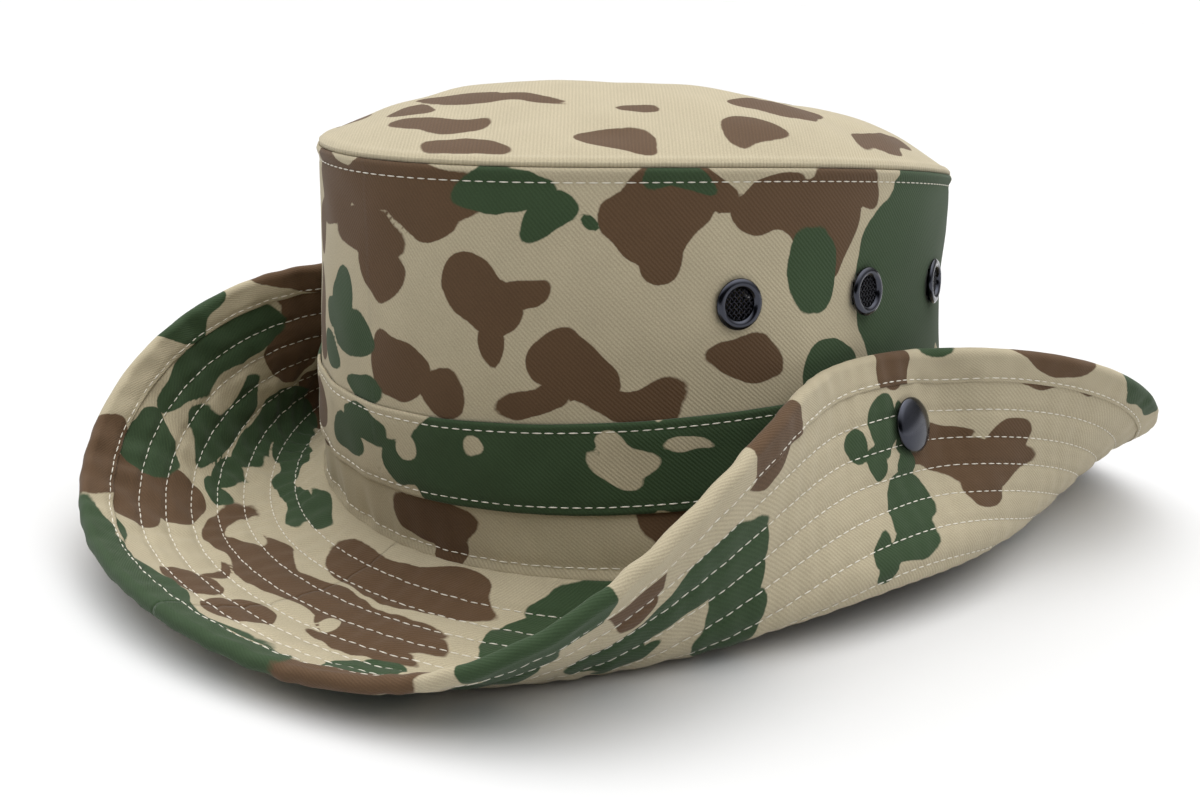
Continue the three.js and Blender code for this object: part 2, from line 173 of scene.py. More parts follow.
snaps = []
for side in (1, -1):
    angle = np.array(side * np.radians(SNAP_BEARING))
    foot, axis = wall(angle, SNAP_HEIGHT), wall_normal(angle, SNAP_HEIGHT)
    seat = foot + axis * SNAP_STANDOFF
    pull = seat - free_brim(angle, BRIM - SNAP_FROM_RIM)
    snaps.append(dict(side=side, foot=foot, axis=axis, seat=seat, pull=pull))


def brim_middle(angle, along):
    """The brim's middle, with each closed snap drawing it in to its seat on the crown."""
    angle, along = np.broadcast_arrays(np.asarray(angle, float), np.asarray(along, float))
    point = free_brim(angle, along)
    share = smooth((along / BRIM - PULL_FROM) / PULL_OVER)
    for snap in snaps:
        point = point + (share * bell(angle, snap["side"] * SNAP_BEARING, PULL_SPREAD))[...,
                                                                                        None] * snap["pull"]
        off_plane = (point - snap["seat"]) @ snap["axis"]
        near = np.exp(-((np.linalg.norm(point - snap["seat"], axis=-1) / SEAT_FLAT) ** 4))
        point = point - (off_plane * near)[..., None] * snap["axis"]
    return point


def brim_normal(angle, along):
    out = brim_middle(angle, along + 0.5) - brim_middle(angle, along - 0.5)
    around = brim_middle(angle + 0.01, along) - brim_middle(angle - 0.01, along)
    return unit(np.cross(out, around))


def ripple(points, size, seed):
    """Smooth random waves through space, about 1 in height and size millimetres long."""
    rng = np.random.RandomState(seed)
    ways = unit(rng.normal(size=(10, 3))) * (rng.uniform(0.7, 1.4, 10) * 2 * np.pi / size)[:, None]
    return np.sin(points @ ways.T + rng.uniform(0, 2 * np.pi, 10)).sum(-1) / 2.4


print("snap seats at", [snap["seat"].round(1).tolist() for snap in snaps])

# %% [markdown]
# ## Meshes and cloth
#
# A piece of cloth is two layers of points joined at their edges, which makes a thin closed slab.
# Each mesh carries a UV map in decimetres of cloth, so that the weave keeps its real size, and two
# numbers per corner that say how deep it lies inside a brown or a green patch of the print.


# %% Mesh helpers
def new_mesh(name, points, faces, material, uv=None, print_depth=None):
    mesh = bpy.data.meshes.new(name)
    mesh.from_pydata(((points + TO_ROW) * MM).tolist(), [], faces)
    mesh.polygons.foreach_set("use_smooth", np.ones(len(mesh.polygons), bool))
    if uv is not None:
        corners = np.zeros(len(mesh.loops), int)
        mesh.loops.foreach_get("vertex_index", corners)
        mesh.uv_layers.new(name="cloth").data.foreach_set("uv", (uv[corners] * 0.01).ravel())
    for key, depth in (print_depth or {}).items():
        mesh.attributes.new(key, "FLOAT", "POINT").data.foreach_set("value", depth.astype(np.float32))
    mesh.materials.append(material)
    mesh.validate()
    piece = bpy.data.objects.new(name, mesh)
    bpy.context.scene.collection.objects.link(piece)
    return piece


def hole_walls(a, b, holes):
    """Quads between the two layers round each hole, where a kept cell meets a missing one."""
    after, walls = np.roll(holes, -1, axis=0), []
    for kept_first in (True, False):
        c, r = np.nonzero((~holes & after) if kept_first else (holes & ~after))
        n = (c + 1) % len(holes)
        low, high = (r + 1, r) if kept_first else (r, r + 1)
        walls.append(np.stack([a[n, low], a[n, high], b[n, high], b[n, low]], -1))
        c, r = np.nonzero((~holes[:, :-1] & holes[:, 1:]) if kept_first else (holes[:, :-1] & ~holes[:, 1:]))
        n = (c + 1) % len(holes)
        first, second = (c, n) if kept_first else (n, c)
        walls.append(np.stack([a[first, r + 1], a[second, r + 1], b[second, r + 1], b[first, r + 1]], -1))
    return walls


def cloth_slab(name, outer, inner, closed, uv, material, print_depth=None, holes=None):
    """Two layers of points, [column, row], joined into a thin closed slab. The outer one faces out."""
    columns, rows = outer.shape[:2]
    index = np.arange(2 * columns * rows).reshape(2, columns, rows)
    c = np.arange(columns if closed else columns - 1)
    n = (c + 1) % columns
    quads = []
    for layer in (0, 1):
        i = index[layer]
        q = np.stack([i[c][:, :-1], i[n][:, :-1], i[n][:, 1:], i[c][:, 1:]], -1)
        q = q if layer == 0 else q[..., ::-1]
        quads.append(q[~holes] if holes is not None else q.reshape(-1, 4))
    a, b = index
    if holes is not None:
        quads += hole_walls(a, b, holes)
    quads.append(np.stack([b[c, 0], b[n, 0], a[n, 0], a[c, 0]], -1))
    quads.append(np.stack([a[c, -1], a[n, -1], b[n, -1], b[c, -1]], -1))
    if not closed:
        quads.append(np.stack([a[0, :-1], a[0, 1:], b[0, 1:], b[0, :-1]], -1))
        quads.append(np.stack([b[-1, :-1], b[-1, 1:], a[-1, 1:], a[-1, :-1]], -1))
    points = np.concatenate([outer.reshape(-1, 3), inner.reshape(-1, 3)])
    both = {key: np.tile(depth.ravel(), 2) for key, depth in (print_depth or {}).items()}
    faces = np.concatenate(quads).tolist()
    return new_mesh(name, points, faces, material, np.tile(uv.reshape(-1, 2), (2, 1)), both)


def turned(name, profile, origin, axis, material, sides=48):
    """A turned piece about a line. The profile is [radius, height] pairs, closed onto the axis or itself."""
    origin, axis = np.asarray(origin), np.asarray(axis)
    across = unit(np.cross(axis, [0.0, 0.0, 1.0]))
    other = np.cross(axis, across)
    turn = np.arange(sides) / sides * 2 * np.pi
    rings = []
    for radius, height in profile:
        ring = np.cos(turn)[:, None] * across + np.sin(turn)[:, None] * other
        rings.append(origin + axis * height + ring * radius if radius > 0 else (origin + axis * height)[None])
    starts = np.cumsum([0] + [len(ring) for ring in rings])
    loop = profile[0][0] > 0
    faces = []
    for k in range(len(profile) if loop else len(profile) - 1):
        m = (k + 1) % len(profile)
        for s in range(sides):
            t = (s + 1) % sides
            low = [starts[k] + s, starts[k] + t] if len(rings[k]) > 1 else [starts[k]]
            high = [starts[m] + t, starts[m] + s] if len(rings[m]) > 1 else [starts[m]]
            if len(low) + len(high) > 2:
                faces.append([int(v) for v in low + high])
    piece = new_mesh(name, np.concatenate(rings), faces, material)
    middle = Vector((origin + TO_ROW) * MM)
    normals_out = sum((Vector(p.center) - middle).dot(p.normal) * p.area for p in piece.data.polygons)
    if normals_out < 0:
        piece.data.flip_normals()
    return piece


# %% [markdown]
# ## Materials
#
# Colours are written the way a picture shows them, as sRGB hex, and turned to the linear values
# that light uses. One small function adds a node with its settings and its links.


# %% Material helpers
def linear(code):
    """An sRGB hex colour as linear red, green, blue and 1."""
    parts = [int(code[k : k + 2], 16) / 255 for k in (1, 3, 5)]
    return [v / 12.92 if v <= 0.04045 else ((v + 0.055) / 1.055) ** 2.4 for v in parts] + [1.0]


def add(tree, kind, settings=None, **inputs):
    """A node with its settings and its inputs. An input is a value or another node's output."""
    node = tree.nodes.new(kind)
    for key, value in (settings or {}).items():
        setattr(node, key, value)
    for key, value in inputs.items():
        socket = node.inputs[int(key[1:])] if key[0] == "_" else node.inputs[key.replace("_", " ")]
        if isinstance(value, bpy.types.NodeSocket):
            tree.links.new(value, socket)
        else:
            socket.default_value = value
    return node


def calc(tree, operation, *values):
    """The result of a maths node."""
    numbered = {f"_{k}": value for k, value in enumerate(values)}
    return add(tree, "ShaderNodeMath", {"operation": operation}, **numbered).outputs[0]


def new_material(name):
    material = bpy.data.materials.new(name)
    material.use_nodes = True
    material.node_tree.nodes.clear()
    return material, material.node_tree


def finish_material(tree, shader):
    add(tree, "ShaderNodeOutputMaterial", _0=shader.outputs[0])


def simple(name, colour, **settings):
    material, tree = new_material(name)
    finish_material(tree, add(tree, "ShaderNodeBsdfPrincipled", Base_Color=linear(colour), **settings))
    return material


# %% Cloth
SAND, BROWN, GREEN = "#b1a68c", "#5a442f", "#34472d"


def cloth_material(name, printed=True, base=SAND, twill=0.9):
    """Cotton twill: a fine diagonal weave, a faint mottle, and where printed the brown and green patches."""
    material, tree = new_material(name)
    uv = add(tree, "ShaderNodeUVMap", {"uv_map": "cloth"}).outputs["UV"]
    ribs = add(tree, "ShaderNodeTexWave", {"bands_direction": "DIAGONAL"}, Vector=uv, Scale=44.4 / twill,
               Distortion=1.2, Detail=2.0, Detail_Scale=3.0).outputs["Fac"]
    fibres = add(tree, "ShaderNodeTexNoise", Vector=uv, Scale=260.0, Detail=2.0).outputs["Fac"]
    mottle = add(tree, "ShaderNodeTexNoise", Vector=uv, Scale=9.0, Detail=4.0).outputs["Fac"]
    colour = add(tree, "ShaderNodeMix", {"data_type": "RGBA"}, _0=0.0, _6=linear(base)).outputs[2]
    if printed:
        wobble = add(tree, "ShaderNodeTexNoise", Vector=uv, Scale=45.0, Detail=3.0).outputs["Fac"]
        shift = calc(tree, "MULTIPLY_ADD", wobble, 0.5, -0.25)
        for key, ink in (("brown", BROWN), ("green", GREEN)):
            depth = add(tree, "ShaderNodeAttribute", {"attribute_name": key}).outputs["Fac"]
            edge = calc(tree, "ADD", depth, shift)
            inside = add(tree, "ShaderNodeMapRange", Value=edge, From_Min=-0.15, From_Max=0.15).outputs[0]
            colour = add(tree, "ShaderNodeMix", {"data_type": "RGBA"}, _0=inside, _6=colour,
                         _7=linear(ink)).outputs[2]
    shade = calc(tree, "MULTIPLY_ADD", ribs, 0.12, 0.88)
    grain = calc(tree, "MULTIPLY_ADD", fibres, 0.5, 0.74)
    patchy = calc(tree, "MULTIPLY_ADD", mottle, 0.16, 0.94)
    both = calc(tree, "MULTIPLY", shade, grain)
    value = calc(tree, "MULTIPLY", both, patchy)
    tinted = add(tree, "ShaderNodeVectorMath", {"operation": "SCALE"}, _0=colour, Scale=value).outputs[0]
    height = calc(tree, "ADD", ribs, fibres)
    bump = add(tree, "ShaderNodeBump", Strength=0.35, Distance=0.00015, Height=height).outputs[0]
    shader = add(tree, "ShaderNodeBsdfPrincipled", Base_Color=tinted, Roughness=0.85, Sheen_Weight=0.1,
                 Sheen_Roughness=0.45, Specular_IOR_Level=0.25, Normal=bump)
    finish_material(tree, shader)
    return material


camo = cloth_material("camo_twill")
lining_cloth = cloth_material("stiff_lining", printed=False, base="#bfb6a2")
sweat_cloth = cloth_material("sweat_tape", printed=False, base="#6f6a4e", twill=1.4)
gunmetal = simple("gunmetal", "#34363f", Metallic=1.0, Roughness=0.2, Coat_Weight=0.4, Coat_Roughness=0.08)
wire = simple("black_wire", "#24242a", Metallic=0.6, Roughness=0.38)
steel = simple("nickel_steel", "#9a9ca0", Metallic=1.0, Roughness=0.3)
thread = simple("thread", "#ddd8ca", Roughness=0.75, Sheen_Weight=0.3)
print(len(bpy.data.materials), "materials")

# %% [markdown]
# ## The print
#
# The camouflage is made of soft-edged patches: listed ovals whose outline is bent by the same
# random waves on every piece. Each oval is (bearing, length along the cloth, half width in
# degrees, half height in millimetres). The back of the hat is filled with random ones.

# %% Patches
WALL_BROWN = [
    (8, 92, 16, 8), (-13, 90, 9, 9), (-2, 79, 9, 5), (3, 71, 5.5, 5), (14, 86, 6, 5), (24, 68, 6, 8.5),
    (31, 72, 3, 3),
    (25, 57, 2, 4), (6, 50, 7, 9), (16, 44, 4, 4), (38, 52, 6, 8), (30, 44, 4, 3), (46, 44, 7, 4),
    (64, 52, 6, 4.5),
    (50, 86, 8, 9), (51, 76, 3, 4), (57, 92, 6, 5), (70, 88, 7, 8), (79, 83, 7, 10), (84, 93, 6, 6),
    (-26, 55, 4, 11),
    (-27, 22, 7, 8), (8, 12, 8, 5), (12, 5, 3, 4), (47, 12, 4, 4), (-21, 78, 3, 6), (102, 8, 14, 9),
]
# Green print on the wall, and one oval of painted shade: (80, 45, 5, 8) darkens the wall beside the left
# flap, where the flap's shade falls.
WALL_GREEN_AND_SHADE = [
    (-12, 62, 3.5, 6), (-7, 55, 6, 4), (-15, 57, 3, 3), (-17, 47, 5, 4), (-4, 41, 5, 3.5), (27, 93, 6, 4),
    (34, 87, 3.5, 4.5),
    (54, 93, 4, 3), (76, 72, 4, 11), (110, 72, 22, 32), (93, 62, 6, 18), (80, 45, 5, 8), (128, 60, 12, 22),
    (40, 84, 1, 1),
]
BAND_GREEN = [
    (-11, 28, 5, 5), (-3, 34, 5, 4), (5, 27, 5, 5), (32, 30, 22, 16), (62, 28, 20, 14), (95, 28, 16, 20),
    (135, 28, 14, 15),
    (14, 22, 6, 9), (-38, 30, 6, 14), (190, 28, 30, 17), (240, 30, 22, 15), (290, 28, 16, 18),
]
BAND_SAND = [(46, 31, 3, 3), (43, 27, 2.5, 1.5), (8, 31, 2, 2), (54, 33, 2, 1.5), (21, 33, 1, 1)]
BAND_BROWN = [(-26, 28, 5, 8), (165, 24, 8, 7), (220, 33, 7, 6), (265, 26, 6, 8)]
UPPER_BROWN = [
    (-5, 31, 24, 8), (8, 12, 15, 8), (14, 37, 8, 6), (-26, 60, 5, 9), (-28, 48, 4, 8), (-7, 56, 4, 7),
    (1, 54, 2.5, 6),
    (14, 46, 5, 3), (-57, 55, 4, 18), (-62, 25, 4, 14), (-11, 45, 3, 4), (22, 71, 4, 6), (-27, 73, 4, 5),
    (48, 40, 6, 9),
]
UPPER_GREEN = [
    (-46, 60, 7, 8), (-44, 43, 7, 7), (-50, 28, 9, 6), (-45, 15, 11, 5), (-28, 14, 8, 4), (-21, 7, 6, 3),
    (-34, 60, 4, 9),
    (-38, 30, 3, 5), (-33, 35, 2.5, 4), (-55, 20, 5, 5), (-13, 71, 11, 3), (-2, 67, 9, 3), (8, 72, 6, 4),
    (18, 58, 3, 9),
    (30, 25, 5, 16), (36, 8, 8, 7), (58, 50, 7, 12), (-70, 55, 4, 10), (-78, 18, 5, 8),
]
UPPER_SAND = [(-15, 47, 5, 5), (-6, 22, 4, 1.5), (3, 44, 4, 3), (-22, 27, 4, 2.5), (-47, 50, 3, 3),
              (-40, 22, 4, 2), (9, 38, 1, 3)]
UNDER_BROWN = [
    (41, 66, 3, 6), (37, 72, 3, 4), (56, 69, 3.5, 7), (70, 73, 5, 3), (103, 44, 9, 6), (109, 51, 3, 6),
    (94, 46, 5, 4),
    (98, 53, 4, 3), (102, 37, 4, 4), (115, 71, 7, 3.5), (88, 70, 3, 4), (150, 40, 8, 9), (13, 72, 5, 5),
]
UNDER_GREEN = [
    (30, 66, 5, 12), (46, 51, 8, 7), (52, 43, 3, 12), (40, 49, 4, 7), (52, 28, 4, 7), (41, 39, 3, 3),
    (83, 59, 3.5, 7),
    (80, 49, 2, 4), (88, 55, 1.6, 6), (76, 54, 2, 4), (85, 35, 5, 7), (84, 26, 4.5, 5), (77, 28, 2, 4),
    (77, 22, 2, 3),
    (88, 44, 2, 4), (16, 60, 6, 9), (2, 71, 6, 4), (130, 18, 8, 8),
]
BINDING_BROWN = [(20, 80, 6, 9), (-60, 74, 8, 9), (-28, 78, 5, 8), (57, 70, 4, 12), (88, 70, 4, 9),
                 (112, 80, 7, 7), (150, 76, 9, 9), (-95, 76, 9, 8), (-140, 74, 9, 9)]
BINDING_GREEN = [(-4, 78, 17, 9), (34, 74, 5, 12), (-80, 76, 6, 8), (-45, 76, 3, 9), (98, 80, 4, 4),
                 (128, 78, 6, 8), (172, 76, 9, 8), (-118, 76, 8, 8)]
TOP_BROWN = [
    (-61, -5, 3, 20, 0), (-66, -42, 4, 8, 15), (-45, -76, 14, 4, -38), (-8, -71, 14, 3.5, 12),
    (10, -65, 10, 3, 25),
    (-13, -82, 7, 4, 0), (5, -88, 10, 4, 25), (22, -94, 9, 4, 15), (49, -66, 7, 5, 0),
    (38, -51, 6, 2.5, 40), (62, -34, 5, 7, 0),
    (48, -17, 4, 5, 0), (53, -5, 4, 11, 0), (-2, 47, 8, 8, 0), (14, 48, 8, 6, 0), (-35, 78, 5, 12, 0),
    (-20, 80, 6, 9, 0),
    (-27, 68, 5, 4, 0), (-62, 57, 5, 13, -15), (-50, 50, 4, 10, -30), (-4, 102, 6, 5, 0),
    (30, 86, 5, 27, 27), (66, 22, 4, 17, 25),
]


def patches(u, v, points, ovals, seed):
    """How deep each point lies inside a patch, in millimetres. Negative is outside."""
    u = u + 1.7 * ripple(points, 26, seed) + 0.3 * ripple(points, 9, seed + 1)
    v = v + 1.7 * ripple(points, 26, seed + 2) + 0.3 * ripple(points, 9, seed + 3)
    depth = np.full(u.shape, -30.0)
    for cu, cv, ru, rv, *turn in ovals:
        turn = np.radians(turn[0] if turn else 0)
        du, dv = u - cu, v - cv
        du, dv = du * np.cos(turn) + dv * np.sin(turn), dv * np.cos(turn) - du * np.sin(turn)
        depth = np.maximum(depth, (1 - np.hypot(du / ru, dv / rv)) * min(ru, rv) + 0.8)
    return depth


def fill(first, last, low, high, count, seed):
    """Random ovals over a stretch of bearings that no listed one covers."""
    rng = np.random.RandomState(seed)
    ovals = []
    for _ in range(count):
        bearing, height = rng.uniform(first, last), rng.uniform(low, high)
        size = rng.uniform(3.5, 8)
        ovals.append((bearing, height, size * rng.uniform(0.6, 1.1), size * rng.uniform(0.7, 1.3)))
        ovals.append((bearing + rng.normal() * 4, height + rng.normal() * 6, size * 0.6, size * 0.6))
    return ovals


def bearing_print(angle, along, points, radius, brown, green, sand, seed):
    """The print's depths on a piece that is laid out by bearing. Patches turn into millimetres there."""
    turn = np.degrees(angle)
    scale = np.radians(radius)
    result = {}
    for key, ovals in (("brown", brown), ("green", green)):
        depth = np.full(turn.shape, -30.0)
        for whole in (-360, 0, 360):
            placed = [((b + whole) * scale, h, rb * scale, rh) for b, h, rb, rh in ovals]
            depth = np.maximum(depth, patches(turn * scale, along, points, placed, seed))
        result[key] = depth
    if sand:
        placed = [(b * scale, h, rb * scale, rh) for b, h, rb, rh in sand]
        bare = patches(turn * scale, along, points, placed, seed)
        result = {key: np.minimum(depth, -bare) for key, depth in result.items()}
    return result


wall_fill = [fill(140, 318, 0, 97, 26, 1), fill(140, 318, 0, 97, 20, 2)]
upper_fill = [fill(62, 270, 0, 76, 30, 3), fill(62, 270, 0, 76, 26, 4)]
under_fill = [fill(140, 350, 0, 76, 30, 5), fill(140, 350, 0, 76, 26, 6)]
print("patches:", len(WALL_BROWN + WALL_GREEN_AND_SHADE + UPPER_BROWN + UPPER_GREEN + UNDER_BROWN + UNDER_GREEN))

# %% [markdown]
# ## The crown
#
# The wall is one strip of cloth sewn at the back, with the hatband round it and the sweatband inside.
# Small reliefs are added to the plain surface: the welt at each seam, the line pressed in by each
# row of stitches, and soft folds where the cloth is eased in at the base.

# %% Crown surfaces
AROUND = 420
ring = np.arange(AROUND) / AROUND * 2 * np.pi
BAND_LOW, BAND_WIDE = 16.8, 22.0


def wall_relief(angle, height):
    """How far the sewn wall stands off its plain surface, in millimetres."""
    points = wall(angle, height)
    turn = np.degrees(angle)
    relief = 0.45 * ripple(points, 75, 20) + 0.12 * ripple(points, 22, 21)
    relief = relief * smooth(height / 12) * smooth((WALL - height) / 12)
    folds = np.sin(0.55 * turn + 0.09 * height + 1.2 * ripple(points, 60, 22))
    relief = relief + 0.8 * folds * bell(angle, -22, 24) * smooth(height / 3) * np.exp(-((height / 16) ** 2))
    relief = relief + 0.25 * np.sin(1.3 * turn) * smooth(height / 3) * np.exp(-((height / 12) ** 2))
    relief = relief + 0.9 * (1 - smooth((height - 1.4) / 1.6)) - 0.2 * np.exp(-(((height - 3.4) / 0.8) ** 2))
    relief = relief + 0.7 * np.exp(-(((height - 96.4) / 1.3) ** 2))
    relief = relief - 0.25 * np.exp(-(((height - 94.2) / 0.8) ** 2))
    back_seam = (np.degrees(np.arctan2(np.sin(angle - np.pi), np.cos(angle - np.pi)))) * 1.75
    return relief + 0.5 * np.exp(-((back_seam / 2.4) ** 4)) - 0.35 * np.exp(-((back_seam / 0.5) ** 2))


def wall_grid(low, high, rows, columns=ring):
    return np.meshgrid(columns, np.linspace(low, high, rows), indexing="ij")


vents = []
for side in (1, -1):
    for place, name in ((-1, "front"), (0, "middle"), (1, "rear")):
        angle = np.array(side * np.radians(VENT_MIDDLE + place * VENT_PITCH))
        name = f"{'left' if side > 0 else 'right'}_{name}_vent"
        vents.append(dict(name=name, origin=wall(angle, VENT_HEIGHT), axis=wall_normal(angle, VENT_HEIGHT)))

angle, height = wall_grid(-0.4, WALL, 96)
plain = wall(angle, height)
relief = wall_relief(angle, height)
uv = np.stack([np.degrees(angle) * 1.7, height], -1)
# The wall's green depths also carry that oval of painted shade beside the left flap.
print_wall = bearing_print(angle, height, plain, WALL_RADIUS, WALL_BROWN + wall_fill[0],
                           WALL_GREEN_AND_SHADE + wall_fill[1], [], 30)
in_hole = np.zeros((AROUND, angle.shape[1] - 1), bool)
centres = (plain[:, :-1] + np.roll(plain, -1, axis=0)[:, 1:]) / 2
for vent in vents:
    in_hole |= np.linalg.norm(centres - vent["origin"], axis=-1) < 5.2
for snap in snaps:
    in_hole |= np.linalg.norm(centres - snap["foot"], axis=-1) < 2.4
side_panel = cloth_slab("crown_side", wall(angle, height, relief), wall(angle, height, relief - 1), True,
                        uv, camo, print_wall, in_hole)

angle, height = wall_grid(BAND_LOW, BAND_LOW + BAND_WIDE, 34)
from_edge = np.minimum(height - BAND_LOW, BAND_LOW + BAND_WIDE - height)
relief = wall_relief(angle, height) + 0.08 * ripple(wall(angle, height), 12, 40)
face = relief + 1.15 - 0.22 * np.exp(-(((from_edge - 2) / 0.8) ** 2)) - 0.3 * (1 - smooth(from_edge / 0.7))
uv = np.stack([np.degrees(angle) * 1.7, height * 1.0 + 200], -1)
print_band = bearing_print(angle, height, wall(angle, height), WALL_RADIUS, BAND_BROWN, BAND_GREEN,
                           BAND_SAND, 41)
band = cloth_slab("hatband_cloth", wall(angle, height, face), wall(angle, height, relief + 0.25), True, uv,
                  camo, print_band)

angle, height = wall_grid(1, 30, 30)
soft = 0.35 * ripple(wall(angle, height), 30, 42)
uv = np.stack([np.degrees(angle) * 1.65, height], -1)
sweatband = cloth_slab("sweatband_tape", wall(angle, height, soft - 2.8), wall(angle, height, soft - 3.5),
                       True, uv, sweat_cloth)
print("wall", len(side_panel.data.polygons), "band", len(band.data.polygons), "sweatband",
      len(sweatband.data.polygons))

# %% Top panel
rings = 60
angle, place = np.meshgrid(ring, np.linspace(1, 0, rings), indexing="ij")
share = np.sin(place * np.pi / 2)
seam = wall(angle, WALL)
middle = np.array([0, 0, WALL])
top = middle + (seam - middle) * share[..., None]
top[..., 2] += DOME * (1 - share**DOME_POWER)
top[..., 2] += (0.9 * ripple(top, 80, 50) + 0.25 * ripple(top, 25, 51)) * smooth((1 - share) / 0.2)
edge_roll = 0.5 * np.exp(-(((1 - share) * 95 - 1.2) / 1.4) ** 2)
uv = top[..., :2] + 300
print_top = {"brown": patches(top[..., 0], top[..., 1], top, TOP_BROWN, 52)}
print_top["green"] = np.full(angle.shape, -30.0)
lift = np.array([0, 0, 1.0])
top_panel = cloth_slab("crown_top", top + lift * (1 + edge_roll)[..., None], top + lift * 0.1, True, uv,
                       camo, print_top)


def weld(piece):
    """Joins the points that meet at a pole."""
    import bmesh

    mesh = bmesh.new()
    mesh.from_mesh(piece.data)
    bmesh.ops.remove_doubles(mesh, verts=mesh.verts, dist=0.002 * MM)
    bmesh.ops.dissolve_degenerate(mesh, edges=mesh.edges, dist=0.001 * MM)
    mesh.to_mesh(piece.data)
    mesh.free()


weld(top_panel)
print("top", len(top_panel.data.polygons))

# %% [markdown]
# ## The brim
#
# Two layers of twill with a stiff lining between, quilted by rings of stitches that press grooves
# into the cloth. Each layer is made as a left and a right half. Where the cloth is squeezed,
# small puckers run across the rings.

# %% Brim surfaces
HALF = 330
ROWS = [FIRST_ROW + ROW_PITCH * k for k in range(ROW_COUNT)]
halves = {"left": np.linspace(0, np.pi, HALF), "right": np.linspace(-np.pi, 0, HALF)}


def grooves(along):
    return sum(np.exp(-(((along - row) / 1.2) ** 2)) for row in ROWS)


def puckers(angle, along, points):
    """Small waves that run across the stitch rows, strongest where the brim turns up at the right."""
    turn = np.degrees(angle)
    strength = 0.09 + 0.42 * bell(angle, -52, 34) + 0.12 * bell(angle, 30, 30) + 0.1 * bell(angle, 200, 60)
    wave = np.sin(turn * 1.55 + 1.6 * ripple(points, 40, 60)) + 0.4 * ripple(points, 9, 61)
    fade = smooth(along / 8) * (1 - 0.55 * np.clip(grooves(along), 0, 1))
    return strength * wave * fade + 0.5 * ripple(points, 90, 62) * smooth(along / 30) * 0.6


def brim_points(angle, along, *offsets):
    """Faces of the sewn brim: each offset is squeezed at the stitch rows and moved by the puckers."""
    middle, normal = brim_middle(angle, along), brim_normal(angle, along)
    squeeze = 1 - 0.42 * np.clip(grooves(along), 0, 1)
    moved = puckers(angle, along, middle)
    return [middle + normal * (offset * squeeze + moved)[..., None] for offset in offsets]


def brim_layer(name, half, low, high, material, prints=None, rows=84, seed=0):
    angle, along = np.meshgrid(halves[half], np.linspace(0.1, BRIM - 0.9, rows), indexing="ij")
    lower, upper = brim_points(angle, along, low, high)
    print_depth = bearing_print(angle, along, lower, BRIM_RADIUS, *prints, seed) if prints else None
    uv = np.stack([np.degrees(angle) * 2.2, along + 500], -1)
    return cloth_slab(name, lower, upper, False, uv, material, print_depth)


upper_print = (UPPER_BROWN + upper_fill[0], UPPER_GREEN + upper_fill[1], UPPER_SAND)
under_print = (UNDER_BROWN + under_fill[0], UNDER_GREEN + under_fill[1], [])
brim_pieces = []
for half in halves:
    brim_pieces.append(brim_layer(f"{half}_brim_upper", half, *UPPER, camo, upper_print, seed=70))
    brim_pieces.append(brim_layer(f"{half}_brim_lining", half, *LINING, lining_cloth, rows=44))
    brim_pieces.append(brim_layer(f"{half}_brim_under", half, *UNDER, camo, under_print, seed=80))
print("brim layers:", [(piece.name, len(piece.data.polygons)) for piece in brim_pieces])

# %% Binding
# The binding is folded over the rim: along the under face, round the rim, and back along the top.
bend = np.linspace(-90, 90, 11)
flat_part = np.linspace(BRIM - BINDING, BRIM - 2.2, 14)
section = [(along, -2.0) for along in flat_part]
section += [(BRIM - 2.0 + 2.0 * np.cos(np.radians(b)), 2.0 * np.sin(np.radians(b))) for b in bend]
section += [(along, 2.0) for along in flat_part[::-1]]
section = np.array(section)
binding_pieces = []
for half in halves:
    angle, k = np.meshgrid(np.linspace(halves[half][0], halves[half][-1], 440), np.arange(len(section)),
                           indexing="ij")
    along, offset = section[k, 0], section[k, 1]
    middle, normal = brim_middle(angle, along), brim_normal(angle, along)
    moved = puckers(angle, np.minimum(along, BRIM - 4), middle) * 0.8
    crease = 0.3 * np.exp(-(((along - (BRIM - BINDING + 1.1)) / 0.8) ** 2))
    crease = crease + 0.25 * (1 - smooth((along - BRIM + BINDING) / 0.6))
    soft = 0.1 * ripple(middle, 7, 90)
    outer = offset - np.sign(offset) * crease + soft + moved
    inner = np.where(np.abs(offset) > 0.6, offset - np.sign(offset) * (0.42 + crease), offset * 0.75)
    inner = inner + soft + moved
    pull = np.where(along > BRIM - 2.2, 0.42, 0)
    uv = np.stack([np.degrees(angle) * 2.9, k * 1.0 + 800], -1)
    length_of = np.where(offset < 0, along, 2 * BRIM - along)
    depth = bearing_print(angle, length_of, middle, RIM_RADIUS, BINDING_BROWN, BINDING_GREEN, [], 91)
    outer_points = middle + normal * outer[..., None]
    outward = unit(middle - brim_middle(angle, along - 1))
    inner_points = middle - outward * pull[..., None] + normal * inner[..., None]
    binding_pieces.append(cloth_slab(f"{half}_binding", outer_points, inner_points, False, uv, camo, depth))
print("binding:", [len(piece.data.polygons) for piece in binding_pieces])

# %% [markdown]
# ## Stitches and wire mesh
#
# A stitch is a short fat bead of thread. A Geometry Nodes tree lays one at every step along a line,
# so a row of stitches is only drawn as a line on the cloth. A second tree turns lines into round wire.


# %% Node trees
def node_tree(name, numbers):
    tree = bpy.data.node_groups.new(name, "GeometryNodeTree")
    tree.interface.new_socket("Geometry", in_out="INPUT", socket_type="NodeSocketGeometry")
    for label, value in numbers.items():
        socket = tree.interface.new_socket(label, in_out="INPUT", socket_type="NodeSocketFloat")
        socket.default_value = value
    tree.interface.new_socket("Material", in_out="INPUT", socket_type="NodeSocketMaterial")
    tree.interface.new_socket("Geometry", in_out="OUTPUT", socket_type="NodeSocketGeometry")
    start = tree.nodes.new("NodeGroupInput")
    end = tree.nodes.new("NodeGroupOutput")
    return tree, start, end


